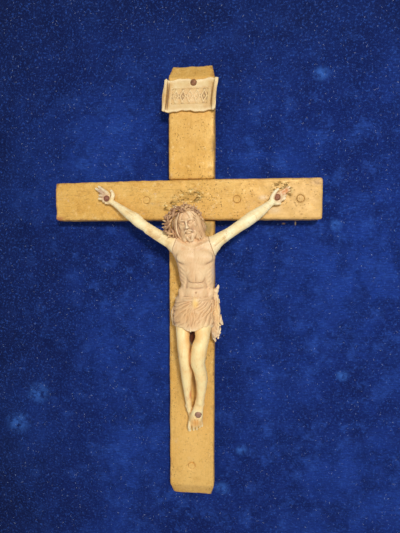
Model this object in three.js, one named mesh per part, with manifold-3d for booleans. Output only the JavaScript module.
// A small crucifix screwed to a velvet-covered board: a gilded wooden cross with a half-lap joint, a carved
// figure whose arms are doweled on at the shoulders, a crown of twisted thorn branches, a scroll, and a ring
// on the back to hang it by.
//
// Millimetres. +X is right, +Z is up and -Y is towards the viewer. The origin is the middle of the board's
// back, where the board lies against the wall.
import * as THREE from "three";
import { mergeVertices } from "three/addons/utils/BufferGeometryUtils.js";
import Module from "manifold-3d";

const wasm = await Module();
wasm.setup();

// Clearances
const SEAT_GAP = 0.3; // between two pieces that lie on each other
const SHANK_GAP = 0.3; // round a nail, screw or dowel in its hole
const END_GAP = 0.5; // past the end of a nail, screw or dowel in a blind hole

// Board and its velvet
const BOARD_WIDTH = 300;
const BOARD_HEIGHT = 400;
const BOARD_THICK = 12;
const VELVET_THICK = 1.5;
const VELVET_EDGE_ROUND = 2.5;
const HEM_WIDTH = 16; // velvet turned over onto the back
const HEM_REBATE = 2; // how far the board's back edge is cut down for the turned velvet
const HEM_REBATE_WIDTH = HEM_WIDTH + 2;

// Pocket in the back of the board, with a ring hanger in it
const POCKET_WIDTH = 34;
const POCKET_HEIGHT = 46;
const POCKET_DEPTH = 5.2;
const POCKET_CORNER = 5;
const POCKET_BELOW_TOP = 60; // from the top of the board to the middle of the pocket
const RING_WIRE = 0.9; // radius
const RING_BAR = 11; // the D's straight side, to the middle of its corners
const RING_CORNER = 1.5;
const RING_BELLY = 3.6; // how far the pull of the D's round side lies outside its straight side
const RING_REACH = 12.8; // how far that pull lies below it
const STRAP_WIDTH = 8;
const STRAP_PLATE = 0.8;
const STRAP_REACH = 15; // from the ring's axis to the strap's far end
const STRAP_SCREW_AT = 9.5; // from the ring's axis
const STRAP_SCREW_IN_WOOD = 5;
const STRAP_BELOW_POCKET_TOP = 4;

// Cross
const UPRIGHT_WIDTH = 29.8;
const UPRIGHT_ABOVE = 86; // from the middle of the crossbar to the top
const UPRIGHT_BELOW = 199; // from the middle of the crossbar to the foot
const UPRIGHT_THICK = 9;
const CROSSBAR_HEIGHT = 26;
const CROSSBAR_LEFT = 91.3; // from the middle of the upright to the crossbar's left end
const CROSSBAR_RIGHT = 82.3;
const CROSSBAR_PROUD = 2; // how far the crossbar stands in front of the upright
const LAP_LEFT_IN_UPRIGHT = 4.5; // wood left in the upright behind the crossbar
const CROSSING_ABOVE_CENTRE = 57; // middle of the crossbar above the middle of the board
const END_TAPER_LENGTH = 8.5; // the upright's two ends narrow and slope back over this length
const END_TAPER_SIDE = 2;
const END_TAPER_FRONT = 4.5;
const EDGE_BEVEL = 0.7;

// Screws that hold the cross to the board, each under a round plug
const PLUG_RADIUS = 2;
const PLUG_DEPTH = 2.4;
const PLUG_PROUD = 0.15;
const INNER_PLUG_AT = 29.2; // from the middle of the upright, one on each side
const OUTER_PLUG_AT = 68.7; // on the right arm
const FOOT_PLUG_ABOVE_END = 22; // from the foot of the upright
const SCREW_LENGTH = 17;
const SCREW_HEAD_RADIUS = 1.8;
const SCREW_HEAD_HEIGHT = 1.3;
const SCREW_SHANK = 1; // radius
const SCREW_SLOT = 0.5;

// Nails with round heads: hands, feet and scroll
const NAIL_HEAD_RADIUS = 2.1;
const NAIL_HEAD_HEIGHT = 1.1;
const NAIL_SHANK = 0.8; // radius
const NAIL_IN_WOOD = 5; // how deep a nail goes into the cross

// Scroll over the head
const SCROLL_WIDTH = 35;
const SCROLL_HEIGHT = 20.5;
const SCROLL_THICK = 1.7;
const SCROLL_LEAN = 6; // degrees that its sides lean
const SCROLL_CURL = 2.1; // how far its ends roll forward
const SCROLL_ROLL_WIDTH = 4.2;
const SCROLL_WAVE = 0.7;
const SCROLL_X = -0.9; // middle of the scroll
const SCROLL_BELOW_NAIL = 8.6; // from the nail to the middle of the scroll
const SCROLL_NAIL_X = 1.6;
const SCROLL_NAIL_BELOW_TOP = 12.9; // from the top of the upright
const SCROLL_FIELD_WIDTH = 23;
const SCROLL_FIELD_HEIGHT = 9.4;
const SCROLL_FIELD_DEPTH = 0.5;
const SCROLL_FIELD_BELOW = 1.2; // the field's middle below the scroll's middle

// Figure. A place is [x, depth, z]: x and z from the middle of the crossing, and depth from the front of
// the upright towards the viewer. Left and right are the viewer's.
const CHEST = [4.5, 12.2, -39.5];
const WAIST = [5.4, 10, -54.5];
const HIPS = [2.9, 9.2, -69];
const NECK = [2.2, 13.4, -28.4];
const SHOULDERS = { left: [-8.6, 12, -28.2], right: [13.8, 12, -28.9] };
const ELBOWS = { left: [-30.6, 10, -16], right: [31.4, 10, -16.4] };
const PALMS = { left: [-54.5, 0.9], right: [54, 0.6] }; // x and z: the palms lie on the crossbar
const GROINS = { left: [-4, 9.4, -71], right: [9.2, 9.4, -71] };
const KNEES = { left: [-2.7, 16.8, -95], right: [6, 17.2, -94.4] };
const ANKLES = { left: [-0.5, 5.2, -131], right: [5.9, 8.6, -129.4] };
const CHEST_HALF_WIDTH = 11.6;
const CHEST_HALF_DEPTH = 8.6;
const WAIST_HALF_WIDTH = 10;
const WAIST_HALF_DEPTH = 6.8;
const HIP_HALF_WIDTH = 11.7;
const HIP_HALF_DEPTH = 8.1;
const NECK_RADIUS = 3.9;
const FIGURE_REACH = 30; // no part of the figure stands further out from the upright

const SHOULDER_JOINT_LEAN = 20; // degrees that the joint's face leans
const DOWEL_RADIUS = 1.1;
const DOWEL_LENGTH = 8;
const SHOULDER_RADIUS = 4.3;
const UPPER_ARM_RADIUS = { left: 2.9, right: 3.3 };
const ELBOW_RADIUS = 3.4;
const FOREARM_RADIUS = { left: 3.3, right: 3.5 };
const WRIST_RADIUS = 1.9;
const WRIST_FROM_PALM = 5.6;
const PALM_LENGTH = 8.4;
const PALM_WIDTH = 6.2;
const PALM_THICK = 3.4;
const FINGER_RADIUS = 0.8;
const FINGER_LENGTHS = [6, 6.4, 3.6, 3.1]; // index, middle, ring, little
const FINGER_CURL = [0.25, 0.35, 1.3, 1.5]; // how far each bends forward
const FINGER_SLANT = [0.3, 0.24, 0.1, -0.02]; // how far each points up, as a share of its length
const THUMB_LENGTH = 4.6;

const BEHIND_LEG_GIRTH = 0.84; // the left leg lies behind and is carved thinner
const THIGH_RADIUS = 5.3;
const KNEE_RADIUS = 3.9;
const CALF_RADIUS = 4.2;
const ANKLE_RADIUS = 2.5;
const FOOT_WIDTH = 10.2;
const FOOT_LENGTH = 15; // from the ankle to the roots of the toes
const FOOT_MIDDLE_X = 3.4; // at the toes
const FOOT_NAIL = [5.4, -137.8]; // x and z
const FOOT_NAIL_SEAT = 8.6; // depth of the flat under the nail's head
const TOE_RADII = [1.4, 0.95, 0.95, 0.9, 0.85]; // big toe first
const TOE_LENGTHS = [6.4, 5.6, 5.1, 3.8, 2.4];

const SKULL = [6.4, 7.4, 8]; // half width, half depth and half height
const FACE_DROP = 8.8; // from the middle of the skull to the chin
const HEAD = [0.1, 16, -14]; // middle of the skull
const HEAD_LEAN = 10; // degrees to the left
const HEAD_NOD = 12;
const HEAD_TURN = 6;
const HAIR_THICK = 1.2;

const CROWN_BRANCH = 0.72; // radius of a branch
const CROWN_TWIST = 1.7; // how far the branches swing up and down
const CROWN_WEAVE = 0.5; // how far they swing in and out
const CROWN_TURNS = 6; // a thorn stands at each crossing
const CROWN_RISE = 0.6; // above the middle of the skull
const CROWN_SHIFT = -2.6; // to the left of the middle of the skull
const CROWN_LEAN = 22; // lower on the left
const CROWN_TILT = 42; // higher in front
const CROWN_GAP = 0.35;
const THORN_LENGTH = 2.3;
const THORN_RADIUS = 0.55;

const CLOTH_TOP_DROP = 62;
const CLOTH_HEM_DROP = 80.5;
const CLOTH_EASE = 1; // cloth over the hips
const CLOTH_FOLD = 0.6;
const CLOTH_FOLDS = 9;
const DRAPE_X = 16.2;
const DRAPE_TOP_DROP = 57;
const DRAPE_LENGTH = 32.5;
const DRAPE_HALF_WIDTH = 2.9;
const DRAPE_FRILL = 0.7;

// Colours
const FINISH = {
  gilding: new THREE.MeshStandardMaterial({ color: 0xd9a649, roughness: 0.42, metalness: 0.35 }),
  bone: new THREE.MeshStandardMaterial({ color: 0xe6c893, roughness: 0.45, metalness: 0 }),
  stainedBone: new THREE.MeshStandardMaterial({ color: 0x8a6448, roughness: 0.6, metalness: 0 }),
  nail: new THREE.MeshStandardMaterial({ color: 0x7c5641, roughness: 0.55, metalness: 0.1 }),
  velvet: new THREE.MeshStandardMaterial({ color: 0x12296b, roughness: 1, metalness: 0 }),
  wood: new THREE.MeshStandardMaterial({ color: 0xb98b5a, roughness: 0.8, metalness: 0 }),
  brass: new THREE.MeshStandardMaterial({ color: 0xb08a3c, roughness: 0.35, metalness: 1 }),
  steel: new THREE.MeshStandardMaterial({ color: 0x8d8f92, roughness: 0.4, metalness: 1 }),
};

// Planes that several pieces share, along Y
const BOARD_FRONT = -BOARD_THICK;
const VELVET_FRONT = BOARD_FRONT - SEAT_GAP - VELVET_THICK;
const CROSS_BACK = VELVET_FRONT - SEAT_GAP;
const UPRIGHT_FRONT = CROSS_BACK - UPRIGHT_THICK;
const CROSSBAR_THICK = UPRIGHT_THICK + CROSSBAR_PROUD;

const POCKET_MIDDLE_Z = BOARD_HEIGHT / 2 - POCKET_BELOW_TOP;

const TOWARDS_VIEWER = new THREE.Vector3(0, -1, 0);
const UPWARDS = new THREE.Vector3(0, 0, 1);
const RIGHTWARDS = new THREE.Vector3(1, 0, 0);

// Solids from three.js geometry, for cutting and joining

function solidOf(geometry) {
  const loose = geometry.index ? geometry.toNonIndexed() : geometry;
  const bare = new THREE.BufferGeometry().setAttribute("position", loose.getAttribute("position"));
  const merged = mergeVertices(bare, 1e-4);
  const mesh = new wasm.Mesh({
    numProp: 3,
    vertProperties: merged.attributes.position.array,
    triVerts: new Uint32Array(merged.index.array),
  });
  return new wasm.Manifold(mesh);
}

function geometryOf(solid) {
  const mesh = solid.getMesh();
  const shared = new THREE.BufferGeometry();
  shared.setAttribute("position", new THREE.BufferAttribute(new Float32Array(mesh.vertProperties), 3));
  shared.setIndex(new THREE.BufferAttribute(new Uint32Array(mesh.triVerts), 1));
  const faceted = shared.toNonIndexed();
  faceted.computeVertexNormals();
  return faceted;
}

function joined(...pieces) {
  return pieces.reduce((whole, piece) => whole.add(piece));
}

function moved(geometry, matrix) {
  return geometry.clone().applyMatrix4(matrix);
}

function turn(axis, degrees) {
  return new THREE.Matrix4().makeRotationAxis(axis, THREE.MathUtils.degToRad(degrees));
}

// A box between two corners
function block([x0, y0, z0], [x1, y1, z1]) {
  const box = new THREE.BoxGeometry(x1 - x0, y1 - y0, z1 - z0);
  return solidOf(box.translate((x0 + x1) / 2, (y0 + y1) / 2, (z0 + z1) / 2));
}

// A round peg from one point to another
function peg(radius, from, to, sides = 16) {
  const along = new THREE.Vector3().subVectors(to, from);
  const cylinder = new THREE.CylinderGeometry(radius, radius, along.length(), sides);
  const aim = new THREE.Quaternion().setFromUnitVectors(new THREE.Vector3(0, 1, 0), along.normalize());
  cylinder.applyQuaternion(aim);
  const middle = new THREE.Vector3().addVectors(from, to).multiplyScalar(0.5);
  return solidOf(cylinder.translate(middle.x, middle.y, middle.z));
}

// A hole that runs along Y, from one depth to another
function boreY(radius, x, z, yNear, yFar, sides = 16) {
  return peg(radius, new THREE.Vector3(x, yNear, z), new THREE.Vector3(x, yFar, z), sides);
}

// An outline drawn in X and Z, made solid from one Y to another
function slab(shape, yFront, yBack, curveSegments = 6) {
  const geometry = new THREE.ExtrudeGeometry(shape, {
    depth: yBack - yFront,
    bevelEnabled: false,
    curveSegments,
  });
  geometry.rotateX(Math.PI / 2);
  return geometry.translate(0, yBack, 0);
}

function rectangle(halfWidth, bottom, top, corner = 0) {
  const shape = new THREE.Shape();
  if (!corner) {
    shape.moveTo(-halfWidth, bottom).lineTo(halfWidth, bottom).lineTo(halfWidth, top).lineTo(-halfWidth, top);
    return shape;
  }
  shape.moveTo(-halfWidth + corner, bottom).lineTo(halfWidth - corner, bottom);
  shape.absarc(halfWidth - corner, bottom + corner, corner, -Math.PI / 2, 0);
  shape.absarc(halfWidth - corner, top - corner, corner, 0, Math.PI / 2);
  shape.absarc(-halfWidth + corner, top - corner, corner, Math.PI / 2, Math.PI);
  shape.absarc(-halfWidth + corner, bottom + corner, corner, Math.PI, Math.PI * 1.5);
  return shape;
}

// A closed skin over rings of points: its ends are closed by fans, unless the last ring meets the first
function skin(rings, { loop = false } = {}) {
  const sides = rings[0].length;
  const points = rings.flat();
  const faces = [];
  const lastRing = loop ? rings.length : rings.length - 1;
  for (let i = 0; i < lastRing; i += 1) {
    const here = i * sides;
    const next = ((i + 1) % rings.length) * sides;
    for (let j = 0; j < sides; j += 1) {
      const k = (j + 1) % sides;
      faces.push(here + j, here + k, next + k, here + j, next + k, next + j);
    }
  }
  if (!loop) {
    for (const [first, flip] of [[0, true], [(rings.length - 1) * sides, false]]) {
      const centre = new THREE.Vector3();
      for (let j = 0; j < sides; j += 1) centre.addScaledVector(points[first + j], 1 / sides);
      points.push(centre);
      const tip = points.length - 1;
      for (let j = 0; j < sides; j += 1) {
        const k = (j + 1) % sides;
        faces.push(...(flip ? [tip, first + k, first + j] : [tip, first + j, first + k]));
      }
    }
  }
  let volume = 0;
  for (let i = 0; i < faces.length; i += 3) {
    const [a, b, c] = [points[faces[i]], points[faces[i + 1]], points[faces[i + 2]]];
    volume += a.dot(new THREE.Vector3().crossVectors(b, c));
  }
  if (volume < 0) faces.reverse();
  const geometry = new THREE.BufferGeometry().setFromPoints(points);
  geometry.setIndex(faces);
  return geometry;
}

// A limb with an oval section that follows a smooth line through its stations. A station is its place
// [x, depth, z], its half width and its half depth. relief(t, angle) raises the skin.
function limb(stations, { sides = 16, steps = 16, relief = () => 0, cap = 1 } = {}) {
  const line = new THREE.CatmullRomCurve3(
    stations.map(([[x, depth, z]]) => new THREE.Vector3(x, -depth, z)),
    false,
    "catmullrom",
    0.5,
  );
  const size = new THREE.CatmullRomCurve3(
    stations.map(([, wide, deep]) => new THREE.Vector3(wide, deep ?? wide, 0)),
    false,
    "catmullrom",
    0.5,
  );
  const ringAt = (t, share, push) => {
    const centre = line.getPoint(t);
    const along = line.getTangent(t);
    const side = new THREE.Vector3().crossVectors(along, TOWARDS_VIEWER).normalize();
    const front = new THREE.Vector3().crossVectors(side, along).normalize();
    const { x: wide, y: deep } = size.getPoint(t);
    centre.addScaledVector(along, push * Math.min(wide, deep));
    return Array.from({ length: sides }, (_, j) => {
      const angle = (j / sides) * Math.PI * 2;
      const lift = relief(t, angle) * share;
      const point = centre.clone();
      point.addScaledVector(side, (wide * share + lift) * Math.cos(angle));
      return point.addScaledVector(front, (deep * share + lift) * Math.sin(angle));
    });
  };
  const rings = [];
  for (let i = cap; i > 0; i -= 1) {
    const bend = (i / (cap + 1)) * (Math.PI / 2);
    rings.push(ringAt(0, Math.cos(bend), -Math.sin(bend)));
  }
  for (let i = 0; i <= steps; i += 1) rings.push(ringAt(i / steps, 1, 0));
  for (let i = 1; i <= cap; i += 1) {
    const bend = (i / (cap + 1)) * (Math.PI / 2);
    rings.push(ringAt(1, Math.cos(bend), Math.sin(bend)));
  }
  return skin(rings);
}

// A tube that closes on itself. Its middle line is given by centre(s) for s from 0 to 1.
function ringTube(centre, [across, tall], steps, sides, up = UPWARDS) {
  const rings = Array.from({ length: steps }, (_, i) => {
    const s = i / steps;
    const along = centre(s + 0.002).sub(centre(s - 0.002)).normalize();
    const side = new THREE.Vector3().crossVectors(along, up).normalize();
    const rise = new THREE.Vector3().crossVectors(side, along);
    return Array.from({ length: sides }, (_unused, j) => {
      const angle = (j / sides) * Math.PI * 2;
      const point = centre(s).addScaledVector(side, across * Math.cos(angle));
      return point.addScaledVector(rise, tall * Math.sin(angle));
    });
  });
  return solidOf(skin(rings, { loop: true }));
}

// An egg: a sphere stretched along the three axes, at [x, depth, z]
function egg([x, depth, z], [halfWidth, halfDepth, halfHeight], across = 14, up = 10) {
  const ball = new THREE.SphereGeometry(1, across, up);
  ball.rotateX(Math.PI / 2).scale(halfWidth, halfDepth, halfHeight);
  return solidOf(ball.translate(x, -depth, z));
}

// Board, velvet and hanger

function pocketTop() {
  return POCKET_MIDDLE_Z + POCKET_HEIGHT / 2;
}

function ringAxis() {
  return {
    y: -POCKET_DEPTH + SEAT_GAP + STRAP_PLATE + SHANK_GAP + RING_WIRE,
    z: pocketTop() - STRAP_REACH - STRAP_BELOW_POCKET_TOP,
  };
}

function crossScrewPlaces() {
  return [
    { name: "left_inner", x: -INNER_PLUG_AT, z: 0, front: -CROSSBAR_THICK },
    { name: "right_inner", x: INNER_PLUG_AT, z: 0, front: -CROSSBAR_THICK },
    { name: "right_outer", x: OUTER_PLUG_AT, z: 0, front: -CROSSBAR_THICK },
    { name: "foot", x: 0, z: FOOT_PLUG_ABOVE_END - UPRIGHT_BELOW, front: -UPRIGHT_THICK },
  ];
}

// How far each cross screw's tip lies from the back of the cross, into the board
function screwTip(front) {
  return front + PLUG_DEPTH + SEAT_GAP + SCREW_LENGTH;
}

function board() {
  const halfWidth = BOARD_WIDTH / 2;
  const halfHeight = BOARD_HEIGHT / 2;
  const slabFront = solidOf(slab(rectangle(halfWidth, -halfHeight, halfHeight), BOARD_FRONT, -HEM_REBATE));
  const fieldHalfWidth = halfWidth - HEM_REBATE_WIDTH;
  const fieldHalfHeight = halfHeight - HEM_REBATE_WIDTH;
  const field = solidOf(slab(rectangle(fieldHalfWidth, -fieldHalfHeight, fieldHalfHeight), -HEM_REBATE - 1, 0));
  const pocketOutline = rectangle(
    POCKET_WIDTH / 2,
    POCKET_MIDDLE_Z - POCKET_HEIGHT / 2,
    pocketTop(),
    POCKET_CORNER,
  );
  let wood = slabFront.add(field).subtract(solidOf(slab(pocketOutline, -POCKET_DEPTH, 1)));
  for (const { x, z, front } of crossScrewPlaces()) {
    const depth = CROSS_BACK + screwTip(front) + END_GAP;
    wood = wood.subtract(
      boreY(SCREW_SHANK + SHANK_GAP, x, CROSSING_ABOVE_CENTRE + z, BOARD_FRONT - 1, depth, 12),
    );
  }
  const axis = ringAxis();
  const strapScrewEnd = -POCKET_DEPTH - STRAP_SCREW_IN_WOOD - END_GAP;
  return wood.subtract(
    boreY(SCREW_SHANK + SHANK_GAP, 0, axis.z + STRAP_SCREW_AT, strapScrewEnd, -POCKET_DEPTH + 1, 12),
  );
}

// A slab with round edges and corners
function roundedSlab(halfWidth, halfHeight, yFront, yBack, round) {
  const profile = rectangle(halfWidth - round, -halfHeight + round, halfHeight - round, round);
  const geometry = new THREE.ExtrudeGeometry(profile, {
    depth: yBack - yFront - round * 2,
    bevelEnabled: true,
    bevelThickness: round,
    bevelSize: round,
    bevelSegments: 2,
    curveSegments: 2,
  });
  return solidOf(geometry.rotateX(Math.PI / 2).translate(0, yBack - round, 0));
}

function velvet() {
  const out = SEAT_GAP + VELVET_THICK;
  const outer = roundedSlab(
    BOARD_WIDTH / 2 + out,
    BOARD_HEIGHT / 2 + out,
    VELVET_FRONT,
    -HEM_REBATE + out,
    VELVET_EDGE_ROUND,
  );
  const halfWidth = BOARD_WIDTH / 2 + SEAT_GAP;
  const halfHeight = BOARD_HEIGHT / 2 + SEAT_GAP;
  const inside = block(
    [-halfWidth, BOARD_FRONT - SEAT_GAP, -halfHeight],
    [halfWidth, -HEM_REBATE + SEAT_GAP, halfHeight],
  );
  const windowHalfWidth = BOARD_WIDTH / 2 - HEM_WIDTH;
  const windowHalfHeight = BOARD_HEIGHT / 2 - HEM_WIDTH;
  const window = block(
    [-windowHalfWidth, -HEM_REBATE - 1, -windowHalfHeight],
    [windowHalfWidth, out, windowHalfHeight],
  );
  let cloth = outer.subtract(inside).subtract(window);
  for (const { x, z } of crossScrewPlaces()) {
    cloth = cloth.subtract(
      boreY(SCREW_SHANK + SHANK_GAP, x, CROSSING_ABOVE_CENTRE + z, VELVET_FRONT - 1, BOARD_FRONT + 0.2, 12),
    );
  }
  return cloth;
}

// The D-shaped ring, with its straight side on the X axis and its round side below
function hangerRing() {
  const half = RING_BAR / 2;
  const outline = new THREE.Path();
  outline.moveTo(-half + RING_CORNER, 0).lineTo(half - RING_CORNER, 0);
  outline.quadraticCurveTo(half, 0, half + RING_CORNER / 3, -RING_CORNER);
  outline.bezierCurveTo(
    half + RING_BELLY,
    -RING_REACH,
    -half - RING_BELLY,
    -RING_REACH,
    -half - RING_CORNER / 3,
    -RING_CORNER,
  );
  outline.quadraticCurveTo(-half, 0, -half + RING_CORNER, 0);
  const centre = (s) => {
    const { x, y } = outline.getPointAt((s + 1) % 1);
    return new THREE.Vector3(x, 0, y);
  };
  return ringTube(centre, [RING_WIRE, RING_WIRE], 28, 6, TOWARDS_VIEWER);
}

// The strap, folded round the ring's straight side, which is on its X axis
function hangerStrap() {
  const eyeInside = RING_WIRE + SHANK_GAP;
  const eyeOutside = eyeInside + STRAP_PLATE;
  const plate = block([-STRAP_WIDTH / 2, -eyeOutside, 0], [STRAP_WIDTH / 2, -eyeInside, STRAP_REACH]);
  const half = STRAP_WIDTH / 2;
  const eye = peg(eyeOutside, new THREE.Vector3(-half, 0, 0), new THREE.Vector3(half, 0, 0), 24);
  const hole = peg(eyeInside, new THREE.Vector3(-half - 1, 0, 0), new THREE.Vector3(half + 1, 0, 0), 24);
  const screwHole = boreY(SCREW_SHANK + SHANK_GAP, 0, STRAP_SCREW_AT, -eyeOutside - 1, 1, 12);
  return eye.add(plate).subtract(hole).subtract(screwHole);
}

// Screws and nails: turned profiles, with the head's underside at the origin and the shank along +Y

function turned(profile, sides = 14) {
  return solidOf(new THREE.LatheGeometry(profile.map(([r, y]) => new THREE.Vector2(r, y)), sides));
}

function countersunkScrew(length) {
  const screw = turned([
    [0, 0],
    [SCREW_HEAD_RADIUS, 0],
    [SCREW_HEAD_RADIUS, 0.25],
    [SCREW_SHANK, SCREW_HEAD_HEIGHT],
    [SCREW_SHANK, length * 0.8],
    [SCREW_SHANK * 0.35, length - 0.2],
    [0, length],
  ]);
  return screw.subtract(
    block([-SCREW_HEAD_RADIUS - 1, -1, -SCREW_SLOT / 2], [SCREW_HEAD_RADIUS + 1, SCREW_SLOT, SCREW_SLOT / 2]),
  );
}

function roundHeadScrew(length) {
  const screw = turned([
    [0, -1],
    [SCREW_HEAD_RADIUS * 0.7, -0.75],
    [SCREW_HEAD_RADIUS, 0],
    [SCREW_SHANK, 0],
    [SCREW_SHANK, length * 0.8],
    [0, length],
  ]);
  return screw.subtract(
    block([-SCREW_HEAD_RADIUS - 1, -2, -SCREW_SLOT / 2], [SCREW_HEAD_RADIUS + 1, -0.5, SCREW_SLOT / 2]),
  );
}

function nail(length) {
  return turned([
    [0, -NAIL_HEAD_HEIGHT],
    [NAIL_HEAD_RADIUS * 0.55, -NAIL_HEAD_HEIGHT * 0.86],
    [NAIL_HEAD_RADIUS * 0.9, -NAIL_HEAD_HEIGHT * 0.45],
    [NAIL_HEAD_RADIUS, 0],
    [NAIL_SHANK, 0],
    [NAIL_SHANK, length - 1.6],
    [0, length],
  ]);
}

// Cross: both pieces are drawn with the middle of the crossing at the origin, on the plane of the cross's back

// A blind hole for a nail, at a place on the cross's front
function nailHole([x, z], front) {
  return boreY(NAIL_SHANK + SHANK_GAP, x, z, front - 1, front + NAIL_IN_WOOD + END_GAP, 12);
}

function plugAndScrewHoles({ x, z, front }) {
  const seat = front + PLUG_DEPTH + SEAT_GAP;
  const plugHole = boreY(PLUG_RADIUS + SHANK_GAP, x, z, front - 1, seat);
  const headHole = boreY(
    SCREW_HEAD_RADIUS + SHANK_GAP / 2,
    x,
    z,
    seat - SEAT_GAP,
    seat + SCREW_HEAD_HEIGHT + SEAT_GAP,
  );
  return joined(plugHole, headHole, boreY(SCREW_SHANK + SHANK_GAP, x, z, seat, 1, 12));
}

function plank(shape, thick) {
  const geometry = new THREE.ExtrudeGeometry(shape, {
    depth: thick - EDGE_BEVEL * 2,
    bevelEnabled: true,
    bevelThickness: EDGE_BEVEL,
    bevelSize: EDGE_BEVEL,
    bevelOffset: -EDGE_BEVEL,
    bevelSegments: 1,
  });
  geometry.rotateX(Math.PI / 2);
  return solidOf(geometry.translate(0, -EDGE_BEVEL, 0));
}

// A wedge that slopes back the front of one end of the upright: up is 1 at the top and -1 at the foot
function endSlope(end, up) {
  const start = end - up * END_TAPER_LENGTH;
  const past = end + up * 2;
  const rise = (END_TAPER_FRONT * (END_TAPER_LENGTH + 2)) / END_TAPER_LENGTH;
  const wedge = new THREE.Shape();
  wedge.moveTo(start, -UPRIGHT_THICK).lineTo(past, -UPRIGHT_THICK + rise);
  wedge.lineTo(past, -UPRIGHT_THICK - 3).lineTo(start, -UPRIGHT_THICK - 3);
  const width = UPRIGHT_WIDTH + 4;
  const geometry = new THREE.ExtrudeGeometry(wedge, { depth: width, bevelEnabled: false });
  // The wedge is drawn with Z along its first axis, so it is turned to stand up.
  return solidOf(geometry.translate(0, 0, -width / 2).rotateY(-Math.PI / 2));
}

function upright() {
  const half = UPRIGHT_WIDTH / 2;
  const narrow = half - END_TAPER_SIDE;
  const outline = new THREE.Shape();
  outline.moveTo(-narrow, -UPRIGHT_BELOW).lineTo(narrow, -UPRIGHT_BELOW);
  outline.lineTo(half, -UPRIGHT_BELOW + END_TAPER_LENGTH).lineTo(half, UPRIGHT_ABOVE - END_TAPER_LENGTH);
  outline.lineTo(narrow, UPRIGHT_ABOVE).lineTo(-narrow, UPRIGHT_ABOVE);
  outline.lineTo(-half, UPRIGHT_ABOVE - END_TAPER_LENGTH).lineTo(-half, -UPRIGHT_BELOW + END_TAPER_LENGTH);
  const lapHalf = CROSSBAR_HEIGHT / 2 + SEAT_GAP;
  const lap = block(
    [-half - 1, -UPRIGHT_THICK - 1, -lapHalf],
    [half + 1, -LAP_LEFT_IN_UPRIGHT, lapHalf],
  );
  let wood = plank(outline, UPRIGHT_THICK);
  wood = wood.subtract(endSlope(UPRIGHT_ABOVE, 1)).subtract(endSlope(-UPRIGHT_BELOW, -1)).subtract(lap);
  wood = wood.subtract(plugAndScrewHoles(crossScrewPlaces().find(({ name }) => name === "foot")));
  wood = wood.subtract(nailHole([SCROLL_NAIL_X, scrollNailZ()], -UPRIGHT_THICK));
  return wood.subtract(nailHole(FOOT_NAIL, -UPRIGHT_THICK));
}

function crossbar() {
  const half = CROSSBAR_HEIGHT / 2;
  const outline = new THREE.Shape();
  outline.moveTo(-CROSSBAR_LEFT, -half).lineTo(CROSSBAR_RIGHT, -half);
  outline.lineTo(CROSSBAR_RIGHT, half).lineTo(-CROSSBAR_LEFT, half);
  const lapHalf = UPRIGHT_WIDTH / 2 + SEAT_GAP;
  const lap = block([-lapHalf, -LAP_LEFT_IN_UPRIGHT - SEAT_GAP, -half - 1], [lapHalf, 1, half + 1]);
  let wood = plank(outline, CROSSBAR_THICK).subtract(lap);
  for (const place of crossScrewPlaces().filter(({ name }) => name !== "foot")) {
    wood = wood.subtract(plugAndScrewHoles(place));
  }
  wood = wood.subtract(nailHole(PALMS.left, -CROSSBAR_THICK));
  return wood.subtract(nailHole(PALMS.right, -CROSSBAR_THICK));
}

// Scroll

function scrollNailZ() {
  return UPRIGHT_ABOVE - SCROLL_NAIL_BELOW_TOP;
}

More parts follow.
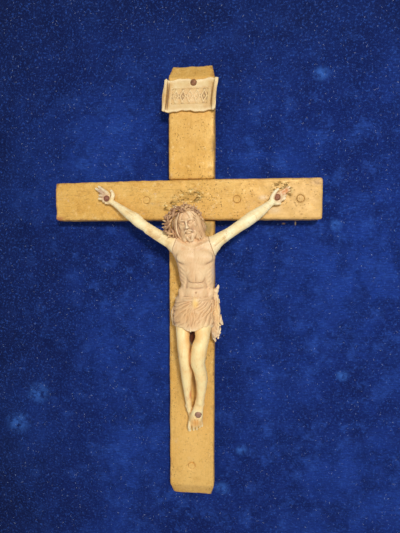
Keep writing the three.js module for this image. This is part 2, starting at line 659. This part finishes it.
// The scroll's back lies on the plane y = 0 at its middle, and its ends roll forward
function scroll() {
  const half = SCROLL_WIDTH / 2;
  const flat = half - SCROLL_ROLL_WIDTH;
  const section = new THREE.Shape();
  section.moveTo(-flat, 0).lineTo(flat, 0);
  section.bezierCurveTo(flat + 1.6, 0, half, SCROLL_CURL * 0.1, half, SCROLL_CURL);
  section.bezierCurveTo(half, SCROLL_CURL + 1.9, half - 2.2, SCROLL_CURL + 1.9, half - 2.4, SCROLL_CURL + 0.7);
  section.bezierCurveTo(half - 2.6, SCROLL_THICK + 0.1, flat + 0.4, SCROLL_THICK, flat, SCROLL_THICK);
  section.lineTo(-flat, SCROLL_THICK);
  section.bezierCurveTo(
    -flat - 0.4,
    SCROLL_THICK,
    -half + 2.6,
    SCROLL_THICK + 0.1,
    -half + 2.4,
    SCROLL_CURL + 0.7,
  );
  section.bezierCurveTo(-half + 2.2, SCROLL_CURL + 1.9, -half, SCROLL_CURL + 1.9, -half, SCROLL_CURL);
  section.bezierCurveTo(-half, SCROLL_CURL * 0.1, -flat - 1.6, 0, -flat, 0);
  const tall = SCROLL_HEIGHT + SCROLL_WAVE * 4;
  const sheet = new THREE.ExtrudeGeometry(section, { depth: tall, bevelEnabled: false, curveSegments: 5 });
  // The section is drawn with its front along +Y, so it is turned to face the viewer.
  sheet.rotateX(Math.PI).translate(0, 0, tall / 2);
  const wavy = new THREE.Shape();
  const steps = 24;
  for (let i = 0; i <= steps; i += 1) {
    const x = -half - 1 + ((SCROLL_WIDTH + 2) * i) / steps;
    const z = -SCROLL_HEIGHT / 2 + SCROLL_WAVE * Math.sin((x / SCROLL_WIDTH) * Math.PI * 2.2);
    if (i === 0) wavy.moveTo(x, z);
    else wavy.lineTo(x, z);
  }
  for (let i = steps; i >= 0; i -= 1) {
    const x = -half - 1 + ((SCROLL_WIDTH + 2) * i) / steps;
    wavy.lineTo(x, SCROLL_HEIGHT / 2 - SCROLL_WAVE * Math.cos((x / SCROLL_WIDTH) * Math.PI * 3));
  }
  let piece = solidOf(sheet).intersect(solidOf(slab(wavy, -SCROLL_CURL - 6, 1)));
  const field = rectangle(
    SCROLL_FIELD_WIDTH / 2,
    -SCROLL_FIELD_HEIGHT / 2 - SCROLL_FIELD_BELOW,
    SCROLL_FIELD_HEIGHT / 2 - SCROLL_FIELD_BELOW,
    1,
  );
  piece = piece.subtract(solidOf(slab(field, -SCROLL_THICK - 1, -SCROLL_THICK + SCROLL_FIELD_DEPTH)));
  piece = joined(piece, ...scrollOrnament());
  const lean = new THREE.Matrix4().makeShear(0, 0, 0, 0, Math.tan(THREE.MathUtils.degToRad(SCROLL_LEAN)), 0);
  const leaning = solidOf(moved(geometryOf(piece), lean));
  return leaning.subtract(nailHoleInScroll());
}

function nailHoleInScroll() {
  const x = SCROLL_NAIL_X - SCROLL_X;
  return boreY(NAIL_SHANK + SHANK_GAP, x, SCROLL_BELOW_NAIL, -SCROLL_THICK - 1, 1, 12);
}

// A row of lozenges and beads in the scroll's sunk field
function scrollOrnament() {
  const lozenges = 4;
  const pitch = SCROLL_FIELD_WIDTH / lozenges;
  const pieces = [];
  for (let i = 0; i < lozenges; i += 1) {
    const x = -SCROLL_FIELD_WIDTH / 2 + pitch * (i + 0.5);
    const lozenge = new THREE.Shape();
    lozenge.moveTo(x - pitch * 0.33, -SCROLL_FIELD_BELOW).lineTo(x, -SCROLL_FIELD_BELOW - 3);
    lozenge.lineTo(x + pitch * 0.33, -SCROLL_FIELD_BELOW).lineTo(x, -SCROLL_FIELD_BELOW + 3);
    pieces.push(solidOf(slab(lozenge, -SCROLL_THICK, -SCROLL_THICK + SCROLL_FIELD_DEPTH + 0.2)));
    if (i > 0) {
      const bead = boreY(
        0.6,
        x - pitch / 2,
        -SCROLL_FIELD_BELOW,
        -SCROLL_THICK,
        -SCROLL_THICK + SCROLL_FIELD_DEPTH + 0.2,
        8,
      );
      pieces.push(bead);
    }
  }
  return pieces;
}

// Figure: drawn with the middle of the crossing at the origin, on the front of the upright

function mix(a, b, share) {
  return a.map((value, i) => value + (b[i] - value) * share);
}

function shift([x, depth, z], [dx, dDepth, dz]) {
  return [x + dx, depth + dDepth, z + dz];
}

function vectorOf([x, depth, z]) {
  return new THREE.Vector3(x, -depth, z);
}

function sideSign(side) {
  return side === "left" ? -1 : 1;
}

// The face of a shoulder's joint, which looks out of the body
function shoulderFace(side) {
  const lean = THREE.MathUtils.degToRad(SHOULDER_JOINT_LEAN);
  const out = new THREE.Vector3(sideSign(side) * Math.cos(lean), 0, Math.sin(lean));
  return { place: vectorOf(SHOULDERS[side]), out };
}

// All the space on one side of a joint's face
function halfSpace({ place, out }, outwards) {
  const size = 120;
  const box = new THREE.BoxGeometry(size, size, size);
  box.applyQuaternion(new THREE.Quaternion().setFromUnitVectors(RIGHTWARDS, out));
  const middle = place.clone().addScaledVector(out, (outwards ? 1 : -1) * (size - SEAT_GAP) * 0.5);
  return solidOf(box.translate(middle.x, middle.y, middle.z));
}

function dowelEnds({ place, out }, reach) {
  return [place.clone().addScaledVector(out, -reach), place.clone().addScaledVector(out, reach)];
}

function dowelHole(face) {
  const [from, to] = dowelEnds(face, DOWEL_LENGTH / 2 + END_GAP);
  return peg(DOWEL_RADIUS + SHANK_GAP, from, to, 12);
}

// Muscles of the chest and belly, as rises of the torso's skin. An angle of 90 degrees is the front.
function chestRelief(t, angle) {
  const front = Math.PI / 2;
  const rise = (at, turned, wide, tall, high) => {
    const away = Math.atan2(Math.sin(angle - front - turned), Math.cos(angle - front - turned));
    return high * Math.exp(-((away / wide) ** 2) - ((t - at) / tall) ** 2);
  };
  const breasts = rise(0.3, -0.55, 0.42, 0.09, 0.8) + rise(0.3, 0.55, 0.42, 0.09, 0.8);
  const ribs = rise(0.48, -0.85, 0.4, 0.05, 0.5) + rise(0.48, 0.85, 0.4, 0.05, 0.5);
  const underRibs = rise(0.58, 0, 0.55, 0.06, -0.7);
  const belly = rise(0.75, 0, 0.7, 0.09, 0.6);
  const groove = rise(0.35, 0, 0.1, 0.14, -0.35);
  return breasts + ribs + underRibs + belly + groove;
}

function torso() {
  return limb(
    [
      [shift(NECK, [0, -0.4, -0.4]), NECK_RADIUS * 1.3, NECK_RADIUS],
      [mix(NECK, CHEST, 0.2), CHEST_HALF_WIDTH * 0.82, CHEST_HALF_DEPTH * 0.62],
      [mix(NECK, CHEST, 0.55), CHEST_HALF_WIDTH, CHEST_HALF_DEPTH * 0.88],
      [CHEST, CHEST_HALF_WIDTH, CHEST_HALF_DEPTH],
      [mix(CHEST, WAIST, 0.5), CHEST_HALF_WIDTH * 0.88, CHEST_HALF_DEPTH * 0.93],
      [WAIST, WAIST_HALF_WIDTH, WAIST_HALF_DEPTH],
      [mix(WAIST, HIPS, 0.45), WAIST_HALF_WIDTH, WAIST_HALF_DEPTH],
      [HIPS, HIP_HALF_WIDTH, HIP_HALF_DEPTH],
      [shift(HIPS, [-0.3, 0, -5]), HIP_HALF_WIDTH * 0.97, HIP_HALF_DEPTH],
    ],
    { sides: 18, steps: 12, relief: chestRelief },
  );
}

// The part of a shoulder that is carved with the body, up to the joint
function shoulder(side) {
  const inwards = -sideSign(side);
  const end = shift(SHOULDERS[side], [-inwards, 0, 0.5]);
  return limb(
    [
      [mix(SHOULDERS[side], CHEST, 0.75), SHOULDER_RADIUS * 1.2, SHOULDER_RADIUS * 1.3],
      [shift(SHOULDERS[side], [inwards * 4, 0, -3]), SHOULDER_RADIUS * 1.15, SHOULDER_RADIUS * 1.2],
      [end, SHOULDER_RADIUS, SHOULDER_RADIUS * 1.05],
    ],
    { sides: 10, steps: 3 },
  );
}

function neck() {
  return limb(
    [
      [shift(NECK, [0.4, -0.6, -5]), NECK_RADIUS * 1.25, NECK_RADIUS * 1.1],
      [NECK, NECK_RADIUS, NECK_RADIUS],
      [mix(NECK, HEAD, 0.5), NECK_RADIUS, NECK_RADIUS * 1.1],
    ],
    { sides: 10, steps: 3 },
  );
}

// Folds that run down and across the cloth, deepest in front
function clothRelief(t, angle) {
  const depth = 0.35 + Math.max(0, Math.sin(angle));
  const slant = Math.cos(angle) * 4.5 + t * 5;
  return CLOTH_FOLD * depth * Math.sin(angle * CLOTH_FOLDS + slant) * Math.sin(Math.PI * (0.12 + t * 0.7));
}

function loincloth() {
  const top = mix(WAIST, HIPS, (CLOTH_TOP_DROP + WAIST[2]) / (WAIST[2] - HIPS[2]));
  const hem = [HIPS[0] - 0.8, HIPS[1] + 0.5, -CLOTH_HEM_DROP];
  const wide = HIP_HALF_WIDTH + CLOTH_EASE;
  const deep = HIP_HALF_DEPTH + CLOTH_EASE;
  const wrap = limb(
    [
      [top, WAIST_HALF_WIDTH + CLOTH_EASE, WAIST_HALF_DEPTH + CLOTH_EASE],
      [mix(top, hem, 0.3), wide, deep],
      [mix(top, hem, 0.7), wide, deep],
      [hem, wide - CLOTH_EASE * 0.9, deep - CLOTH_EASE * 0.4],
    ],
    { sides: 30, steps: 5, relief: clothRelief },
  );
  const front = WAIST_HALF_DEPTH + CLOTH_EASE;
  const flap = limb(
    [
      [shift(top, [-0.4, front * 0.8, 1.6]), 2.4, 1.3],
      [shift(top, [-1.6, front + 1.2, -3.4]), 2, 1.4],
      [shift(top, [-2.4, front + 1.6, -8.6]), 0.9, 0.9],
    ],
    { sides: 8, steps: 5 },
  );
  const hipEnd = limb(
    [
      [shift(top, [-WAIST_HALF_WIDTH - 2.2, -0.4, -2.4]), 1.5, 2],
      [shift(hem, [-HIP_HALF_WIDTH - 0.8, -2.6, 9]), 1.7, 2.2],
      [shift(hem, [-HIP_HALF_WIDTH - 0.4, -4.4, 1]), 0.9, 1.4],
    ],
    { sides: 8, steps: 5 },
  );
  return joined(solidOf(wrap), solidOf(flap), solidOf(hipEnd), drape());
}

// The end of the cloth that is knotted at the right hip and hangs in frills
function drape() {
  const place = (share, out, depth) => [DRAPE_X + out, depth, -DRAPE_TOP_DROP - DRAPE_LENGTH * share];
  const wide = DRAPE_HALF_WIDTH;
  const tail = limb(
    [
      [place(0.02, -1.6, 9.6), wide * 0.5, wide * 0.8],
      [place(0.22, -0.4, 8.6), wide * 0.78, wide],
      [place(0.5, 0.9, 7.4), wide * 0.98, wide * 1.1],
      [place(0.7, 1.2, 6.4), wide, wide],
      [place(0.9, -0.3, 5.2), wide * 0.66, wide * 0.8],
      [place(0.99, -1.6, 4.4), wide * 0.3, wide * 0.45],
    ],
    { sides: 15, steps: 7, relief: (t, angle) => DRAPE_FRILL * Math.sin(angle * 5 + t * 7) * (0.4 + t) },
  );
  const knot = egg(place(0.05, -0.9, 10.4), [wide * 0.75, wide * 0.85, wide * 0.8], 10, 6);
  const ear = egg(place(-0.02, 0.6, 10.4), [wide * 0.42, wide * 0.5, wide * 0.75], 8, 5);
  return joined(solidOf(tail), knot, ear);
}

function leg(side) {
  const [groin, knee, ankle] = [GROINS[side], KNEES[side], ANKLES[side]];
  const girth = side === "right" ? 1 : BEHIND_LEG_GIRTH;
  const calf = shift(mix(knee, ankle, 0.38), [sideSign(side) * 0.5 + 0.2, -0.3, 0]);
  return limb(
    [
      [groin, THIGH_RADIUS * 1.08, THIGH_RADIUS * 1.2],
      [shift(mix(groin, knee, 0.45), [-0.2, 0.4, 0]), THIGH_RADIUS, THIGH_RADIUS],
      [knee, KNEE_RADIUS * girth * 1.1, KNEE_RADIUS],
      [shift(mix(knee, ankle, 0.16), [0, -0.8, 0]), CALF_RADIUS * girth * 0.96, CALF_RADIUS * 0.92],
      [calf, CALF_RADIUS * girth * 1.08, CALF_RADIUS],
      [shift(mix(knee, ankle, 0.7), [0.6, 0.2, 0]), ANKLE_RADIUS * girth * 1.4, ANKLE_RADIUS * 1.25],
      [ankle, ANKLE_RADIUS * girth * 1.2, ANKLE_RADIUS * 0.95],
    ],
    { sides: 10, steps: 12 },
  );
}

// The right foot lies over the left one, and has the toes that show
function feet() {
  const ankle = ANKLES.right;
  const roots = [FOOT_MIDDLE_X, 4.4, ankle[2] - FOOT_LENGTH];
  const instep = mix(ankle, roots, 0.5);
  const over = limb(
    [
      [shift(ankle, [0, -0.4, 1]), ANKLE_RADIUS * 1.2, ANKLE_RADIUS],
      [instep, FOOT_WIDTH * 0.39, ANKLE_RADIUS],
      [roots, FOOT_WIDTH * 0.49, 1.7],
    ],
    { sides: 12, steps: 6 },
  );
  const under = limb(
    [
      [shift(ANKLES.left, [0, -0.4, 2]), ANKLE_RADIUS * 0.95, ANKLE_RADIUS * 0.9],
      [shift(mix(ANKLES.left, roots, 0.5), [0, -1.6, 0]), FOOT_WIDTH * 0.28, 1.7],
      [shift(roots, [0.2, -2.4, 0]), FOOT_WIDTH * 0.33, 1.3],
    ],
    { sides: 10, steps: 4 },
  );
  const total = TOE_RADII.reduce((sum, radius) => sum + radius * 2, 0);
  let edge = FOOT_MIDDLE_X - FOOT_WIDTH / 2;
  const toes = TOE_RADII.map((radius, i) => {
    const x = edge + (radius * FOOT_WIDTH) / total;
    edge += (radius * 2 * FOOT_WIDTH) / total;
    const inwards = (FOOT_MIDDLE_X - x) * 0.14;
    return solidOf(
      limb(
        [
          [[x + inwards, roots[1] - 0.1, roots[2] + 2], radius],
          [[x, roots[1] - 0.4, roots[2] - TOE_LENGTHS[i] * 0.4], radius * 0.9],
          [[x, roots[1] - 1.7, roots[2] - TOE_LENGTHS[i] + radius], radius],
        ],
        { sides: 7, steps: 4 },
      ),
    );
  });
  return joined(solidOf(over), solidOf(under), ...toes);
}

// Head: drawn upright with the middle of the skull at the origin, looking to the viewer

function face() {
  const [wide, deep] = SKULL;
  const front = limb(
    [
      [[0, deep * 0.22, 5], wide * 0.72, deep * 0.64],
      [[0, deep * 0.26, 0.8], wide * 0.78, deep * 0.72],
      [[0, deep * 0.32, -3.8], wide * 0.66, deep * 0.66],
      [[0, deep * 0.48, -FACE_DROP + 1.2], wide * 0.36, deep * 0.42],
    ],
    { sides: 14, steps: 6 },
  );
  const nose = limb(
    [
      [[0, deep * 0.94, 1.1], 0.55, 0.5],
      [[0, deep * 1.1, -1.6], 0.7, 0.8],
      [[0, deep * 1.14, -2.8], 1, 0.75],
    ],
    { sides: 6, steps: 3 },
  );
  const brow = (sign) => egg([sign * 2.2, deep * 0.93, 1.6], [1.8, 0.7, 0.5], 6, 4);
  const lid = (sign) => egg([sign * 2.2, deep * 0.9, 0.2], [1.2, 0.7, 0.7], 6, 4);
  const mouth = egg([0, deep * 0.95, -4.7], [1.5, 0.7, 0.5], 6, 4);
  return joined(solidOf(front), solidOf(nose), brow(-1), brow(1), lid(-1), lid(1), mouth);
}

function beard() {
  const deep = SKULL[1];
  const tip = (sign) =>
    limb(
      [
        [[sign * 2, deep * 0.7, -FACE_DROP + 1.6], 1.7, 1.8],
        [[sign * 1.3, deep * 0.78, -FACE_DROP - 0.4], 1.3, 1.4],
        [[sign * 0.8, deep * 0.8, -FACE_DROP - 2], 0.7, 0.8],
      ],
      { sides: 6, steps: 3 },
    );
  return joined(solidOf(tip(-1)), solidOf(tip(1)));
}

// Hair over the skull, and a mass of locks that falls to the shoulder on each side
function hair() {
  const [wide, deep, tall] = SKULL.map((half) => half + HAIR_THICK);
  const strands = (t, angle) => 0.4 * Math.sin(angle * 5 + t * 7);
  const locks = [-1, 1].map((sign) =>
    limb(
      [
        [[sign * (wide - 2.6), -0.6, 2.5], 2.4, 5],
        [[sign * (wide - 1.8), -0.8, -4], 2.5, 5],
        [[sign * (wide - 2), -1.2, -10], 2.3, 4.4],
        [[sign * (wide - 1), -1.8, -15.5], 1.4, 3.2],
      ],
      { sides: 10, steps: 5, relief: strands },
    ),
  );
  const cap = egg([CROWN_SHIFT / 2, -1.2, 0.4], [wide, deep - 1, tall], 14, 8);
  return joined(cap, ...locks.map(solidOf));
}

function headPlace() {
  const pose = new THREE.Matrix4()
    .multiply(turn(TOWARDS_VIEWER, HEAD_LEAN))
    .multiply(turn(UPWARDS, -HEAD_TURN))
    .multiply(turn(RIGHTWARDS, HEAD_NOD));
  return pose.setPosition(vectorOf(HEAD));
}

function head() {
  const whole = joined(face(), beard(), hair());
  return solidOf(moved(geometryOf(whole), headPlace()));
}

// What lies behind a piece's seat, cut from the back of the carving
function woodBehind(front) {
  return block([-BOARD_WIDTH, front - SEAT_GAP, -BOARD_HEIGHT], [BOARD_WIDTH, BOARD_THICK, BOARD_HEIGHT]);
}

// A nail's hole, and the spot face that its head sits on, at a depth
function nailSeat([x, z], depth) {
  const hole = boreY(NAIL_SHANK + SHANK_GAP, x, z, -FIGURE_REACH, NAIL_IN_WOOD, 12);
  return hole.add(boreY(NAIL_HEAD_RADIUS + SHANK_GAP, x, z, -FIGURE_REACH, -depth, 16));
}

function figureBody() {
  let carving = joined(
    solidOf(torso()),
    solidOf(shoulder("left")),
    solidOf(shoulder("right")),
    solidOf(neck()),
    loincloth(),
    solidOf(leg("left")),
    solidOf(leg("right")),
    feet(),
    head(),
  );
  for (const side of ["left", "right"]) {
    const joint = shoulderFace(side);
    carving = carving.subtract(halfSpace(joint, true).intersect(shoulderRegion(side)));
    carving = carving.subtract(dowelHole(joint));
  }
  const cut = joined(woodBehind(0), nailSeat(FOOT_NAIL, FOOT_NAIL_SEAT), crownChannel());
  return carving.subtract(cut);
}

// The joint's face cuts the carving only round the shoulder
function shoulderRegion(side) {
  const { x, y, z } = shoulderFace(side).place;
  const reach = SHOULDER_RADIUS * 3;
  const inwards = SHOULDER_RADIUS * 1.4;
  const [x0, x1] = side === "left" ? [x - reach, x + inwards] : [x - inwards, x + reach];
  return block([x0, y - reach, z - reach], [x1, y + reach, z + reach]);
}

// The hand is drawn along +X from the wrist, with its thumb up and its palm to the viewer
function hand() {
  const half = PALM_WIDTH / 2;
  const palm = limb(
    [
      [[-WRIST_FROM_PALM, 0.7, 0], WRIST_RADIUS, WRIST_RADIUS * 0.85],
      [[-PALM_LENGTH * 0.25, 0.2, 0.1], half * 0.92, PALM_THICK / 2],
      [[PALM_LENGTH * 0.3, 0, 0], half, (PALM_THICK / 2) * 0.92],
    ],
    { sides: 9, steps: 4 },
  );
  const root = PALM_LENGTH * 0.38;
  const fingers = FINGER_LENGTHS.map((length, i) => {
    const across = half * (0.78 - i * 0.52);
    const slant = FINGER_SLANT[i];
    const curl = FINGER_CURL[i];
    return solidOf(
      limb(
        [
          [[root - 1.2, 0, across], FINGER_RADIUS],
          [[root + length * 0.45, 0.1 + curl * 0.5, across + slant * length * 0.45], FINGER_RADIUS * 0.95],
          [[root + length * (1 - curl * 0.3), curl * 1.6, across + slant * length], FINGER_RADIUS * 0.8],
        ],
        { sides: 6, steps: 3 },
      ),
    );
  });
  const thumb = limb(
    [
      [[-PALM_LENGTH * 0.4, 0.4, half * 0.5], FINGER_RADIUS * 1.3],
      [[-PALM_LENGTH * 0.2, 1, half * 0.5 + THUMB_LENGTH * 0.45], FINGER_RADIUS * 1.15],
      [[PALM_LENGTH * 0.08, 1.2, half * 0.5 + THUMB_LENGTH * 0.85], FINGER_RADIUS * 0.85],
    ],
    { sides: 6, steps: 3 },
  );
  return joined(solidOf(palm), ...fingers, solidOf(thumb));
}

// The depth of the middle of a palm that lies on the crossbar, and of the flat under its nail's head
function palmDepth() {
  return CROSSBAR_PROUD + SEAT_GAP + PALM_THICK / 2 - 0.2;
}

function palmSeat() {
  return CROSSBAR_PROUD + SEAT_GAP + PALM_THICK * 0.86;
}

function arm(side) {
  const sign = sideSign(side);
  const joint = shoulderFace(side);
  const [shoulder, elbow] = [SHOULDERS[side], ELBOWS[side]];
  const [palmX, palmZ] = PALMS[side];
  const reach = Math.atan2(palmZ - elbow[2], sign * (palmX - elbow[0]));
  const wrist = [
    palmX - sign * Math.cos(reach) * WRIST_FROM_PALM,
    palmDepth() + 0.7,
    palmZ - Math.sin(reach) * WRIST_FROM_PALM,
  ];
  const flesh = limb(
    [
      [shift(shoulder, [-sign * 3.5, 0, -1.6]), SHOULDER_RADIUS, SHOULDER_RADIUS * 1.05],
      [shift(shoulder, [sign * 1.6, 0, 0.8]), SHOULDER_RADIUS, SHOULDER_RADIUS * 1.05],
      [mix(shoulder, elbow, 0.5), UPPER_ARM_RADIUS[side], UPPER_ARM_RADIUS[side]],
      [elbow, ELBOW_RADIUS, ELBOW_RADIUS * 0.92],
      [mix(elbow, wrist, 0.3), FOREARM_RADIUS[side], FOREARM_RADIUS[side] * 0.88],
      [mix(elbow, wrist, 0.75), WRIST_RADIUS * 1.2, WRIST_RADIUS * 1.1],
      [wrist, WRIST_RADIUS, WRIST_RADIUS * 0.85],
    ],
    { sides: 10, steps: 12 },
  );
  const aim = new THREE.Matrix4()
    .makeTranslation(palmX, -palmDepth(), palmZ)
    .multiply(new THREE.Matrix4().makeScale(sign, 1, 1))
    .multiply(turn(TOWARDS_VIEWER, THREE.MathUtils.radToDeg(reach)));
  const whole = solidOf(flesh).add(mirroredSolid(moved(geometryOf(hand()), aim), sign));
  const cut = joined(halfSpace(joint, false), dowelHole(joint), woodBehind(-CROSSBAR_PROUD));
  return whole.subtract(cut).subtract(nailSeat(PALMS[side], palmSeat()));
}

// A mirrored geometry has its faces turned in, so their corners are put in the other order
function mirroredSolid(geometry, sign) {
  if (sign > 0) return solidOf(geometry);
  const corners = geometry.getAttribute("position");
  for (let i = 0; i < corners.count; i += 3) {
    const first = new THREE.Vector3().fromBufferAttribute(corners, i);
    const last = new THREE.Vector3().fromBufferAttribute(corners, i + 2);
    corners.setXYZ(i, last.x, last.y, last.z);
    corners.setXYZ(i + 2, first.x, first.y, first.z);
  }
  return solidOf(geometry);
}

// Crown: two branches woven into a ring round the hair, with thorns

function crownPoint(a) {
  const wide = SKULL[0] + HAIR_THICK + CROWN_WEAVE;
  const deep = SKULL[1] + HAIR_THICK + CROWN_WEAVE;
  return {
    place: new THREE.Vector3(wide * Math.cos(a), -deep * Math.sin(a), 0),
    out: new THREE.Vector3(Math.cos(a) / wide, -Math.sin(a) / deep, 0).normalize(),
  };
}

function crownPlace() {
  const leaned = turn(TOWARDS_VIEWER, CROWN_LEAN).multiply(turn(RIGHTWARDS, -CROWN_TILT));
  return headPlace().multiply(leaned.setPosition(CROWN_SHIFT, 0, CROWN_RISE));
}

// A thorn at each crossing, grown by the room that it takes in the hair where that is cut
function thorns(grown = 0) {
  return Array.from({ length: CROWN_TURNS * 2 }, (_, i) => {
    const { place, out } = crownPoint((i / (CROWN_TURNS * 2)) * Math.PI * 2);
    place.addScaledVector(out, CROWN_WEAVE);
    out.add(new THREE.Vector3(Math.sin(i * 5.1) * 0.5, Math.cos(i * 3.7) * 0.2, Math.sin(i * 2.4) * 0.8));
    const length = THORN_LENGTH + CROWN_BRANCH + grown;
    const cone = new THREE.ConeGeometry(THORN_RADIUS + grown, length, 4).translate(0, length / 2, 0);
    const aim = new THREE.Quaternion().setFromUnitVectors(new THREE.Vector3(0, 1, 0), out.normalize());
    return solidOf(cone.applyQuaternion(aim).translate(place.x, place.y, place.z));
  });
}

// The room that the crown takes in the hair
function crownChannel() {
  const around = CROWN_BRANCH + CROWN_GAP;
  const size = [CROWN_WEAVE + around, CROWN_TWIST + around];
  const channel = ringTube((s) => crownPoint(s * Math.PI * 2).place, size, 24, 8);
  return solidOf(moved(geometryOf(joined(channel, ...thorns(CROWN_GAP))), crownPlace()));
}

function crown() {
  const branch = (phase) => {
    const centre = (s) => {
      const a = s * Math.PI * 2;
      const swing = a * CROWN_TURNS + phase;
      const { place, out } = crownPoint(a);
      return place.addScaledVector(out, CROWN_WEAVE * Math.cos(swing)).setZ(CROWN_TWIST * Math.sin(swing));
    };
    return ringTube(centre, [CROWN_BRANCH, CROWN_BRANCH], CROWN_TURNS * 8, 5);
  };
  const whole = joined(branch(0), branch(Math.PI), ...thorns());
  return solidOf(moved(geometryOf(whole), crownPlace()));
}

// The model

const model = new THREE.Group();

function add(parent, name, solid, finish, place = [0, 0, 0]) {
  const mesh = new THREE.Mesh(geometryOf(solid), FINISH[finish]);
  mesh.name = name;
  mesh.position.set(...place);
  parent.add(mesh);
}

add(model, "backing_board", board(), "wood");
add(model, "velvet_cover", velvet(), "velvet");

const hanger = new THREE.Group();
hanger.position.set(0, ringAxis().y, ringAxis().z);
model.add(hanger);
add(hanger, "hanger_ring", hangerRing(), "brass");
add(hanger, "hanger_strap", hangerStrap(), "brass");
const strapFace = -RING_WIRE - SHANK_GAP + SEAT_GAP;
const strapScrewLength = STRAP_SCREW_IN_WOOD + STRAP_PLATE;
const strapScrew = roundHeadScrew(strapScrewLength).rotate([180, 0, 0]);
add(hanger, "hanger_screw", strapScrew, "steel", [0, strapFace, STRAP_SCREW_AT]);

const cross = new THREE.Group();
cross.position.set(0, CROSS_BACK, CROSSING_ABOVE_CENTRE);
model.add(cross);
add(cross, "cross_upright", upright(), "gilding");
add(cross, "crossbar", crossbar(), "gilding");
for (const { name, x, z, front } of crossScrewPlaces()) {
  const plugSolid = boreY(PLUG_RADIUS, 0, 0, -PLUG_PROUD, PLUG_DEPTH - SEAT_GAP);
  add(cross, `plug_${name}`, plugSolid, "gilding", [x, front, z]);
  const seat = front + PLUG_DEPTH + SEAT_GAP;
  add(cross, `cross_screw_${name}`, countersunkScrew(SCREW_LENGTH), "steel", [x, seat, z]);
}

const figure = new THREE.Group();
figure.position.set(0, UPRIGHT_FRONT, CROSSING_ABOVE_CENTRE);
model.add(figure);
add(figure, "figure_body", figureBody(), "bone");
for (const side of ["left", "right"]) {
  add(figure, `figure_arm_${side}`, arm(side), "bone");
  const [from, to] = dowelEnds(shoulderFace(side), DOWEL_LENGTH / 2);
  add(figure, `shoulder_dowel_${side}`, peg(DOWEL_RADIUS, from, to, 12), "wood");
  const [x, z] = PALMS[side];
  const underHead = palmSeat() + SEAT_GAP;
  const handNail = nail(underHead - CROSSBAR_PROUD + NAIL_IN_WOOD);
  add(figure, `hand_nail_${side}`, handNail, "nail", [x, -underHead, z]);
}
const [footNailX, footNailZ] = FOOT_NAIL;
const footNailHead = FOOT_NAIL_SEAT + SEAT_GAP;
add(figure, "foot_nail", nail(footNailHead + NAIL_IN_WOOD), "nail", [footNailX, -footNailHead, footNailZ]);
add(figure, "thorn_crown", crown(), "stainedBone");

const scrollZ = scrollNailZ() - SCROLL_BELOW_NAIL;
add(figure, "title_scroll", scroll(), "bone", [SCROLL_X, -SEAT_GAP, scrollZ]);
const scrollHead = SEAT_GAP + SCROLL_THICK + SEAT_GAP;
const scrollNail = nail(scrollHead + NAIL_IN_WOOD);
add(figure, "scroll_nail", scrollNail, "nail", [SCROLL_NAIL_X, -scrollHead, scrollNailZ()]);

export default model;
